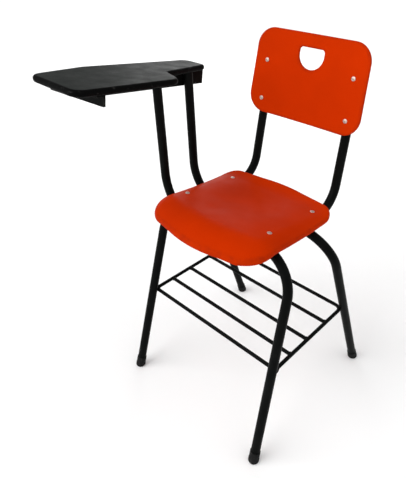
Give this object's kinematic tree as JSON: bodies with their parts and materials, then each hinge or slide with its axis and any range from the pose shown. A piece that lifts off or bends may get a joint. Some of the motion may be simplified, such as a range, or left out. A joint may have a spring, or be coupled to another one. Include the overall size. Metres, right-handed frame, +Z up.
{
  "type": "tablet arm school chair",
  "caption": "Welded steel-tube classroom chair with moulded seat and back, a fixed writing tablet on the sitter's right and a wire book rack.",
  "frame": {"origin": "on the floor, midway between the four feet", "axes": "+Z up, -Y towards the front of the chair, +X towards the sitter's left; the tablet is on the -X side"},
  "size_m": [0.4574, 0.5302, 0.7729],
  "materials": {
    "shell_plastic": "satin moulded, orange-red",
    "tablet_top": "fine-textured black",
    "frame_paint": "satin black powder coat",
    "bracket_paint": "satin black powder coat",
    "foot_rubber": "matt black",
    "plug_plastic": "matt black",
    "rivet_metal": "bright, as set",
    "screw_steel": "zinc plated"
  },
  "bodies": {
    "root": {"seat_shell": "shell_plastic", "backrest_shell": "shell_plastic", "writing_tablet": "tablet_top", "front_leg_frame": "frame_paint", "rear_leg_frame": "frame_paint", "right_side_tube": "frame_paint", "left_side_tube": "frame_paint", "front_tablet_post": "frame_paint", "rear_tablet_post": "frame_paint", "tablet_long_bar": "bracket_paint", "tablet_cross_bar": "bracket_paint", "rack_border_rod": "frame_paint", "rack_front_rod": "frame_paint", "rack_cross_rod_1": "frame_paint", "rack_cross_rod_2": "frame_paint", "rack_cross_rod_3": "frame_paint", "front_right_foot_cap": "foot_rubber", "front_left_foot_cap": "foot_rubber", "rear_right_foot_cap": "foot_rubber", "rear_left_foot_cap": "foot_rubber", "right_rail_plug": "plug_plastic", "left_rail_plug": "plug_plastic", "right_upright_plug": "plug_plastic", "left_upright_plug": "plug_plastic", "front_post_plug": "plug_plastic", "rear_post_plug": "plug_plastic", "seat_rivets": "rivet_metal", "backrest_rivets": "rivet_metal", "tablet_screws": "screw_steel"}
  },
  "joints": []
}
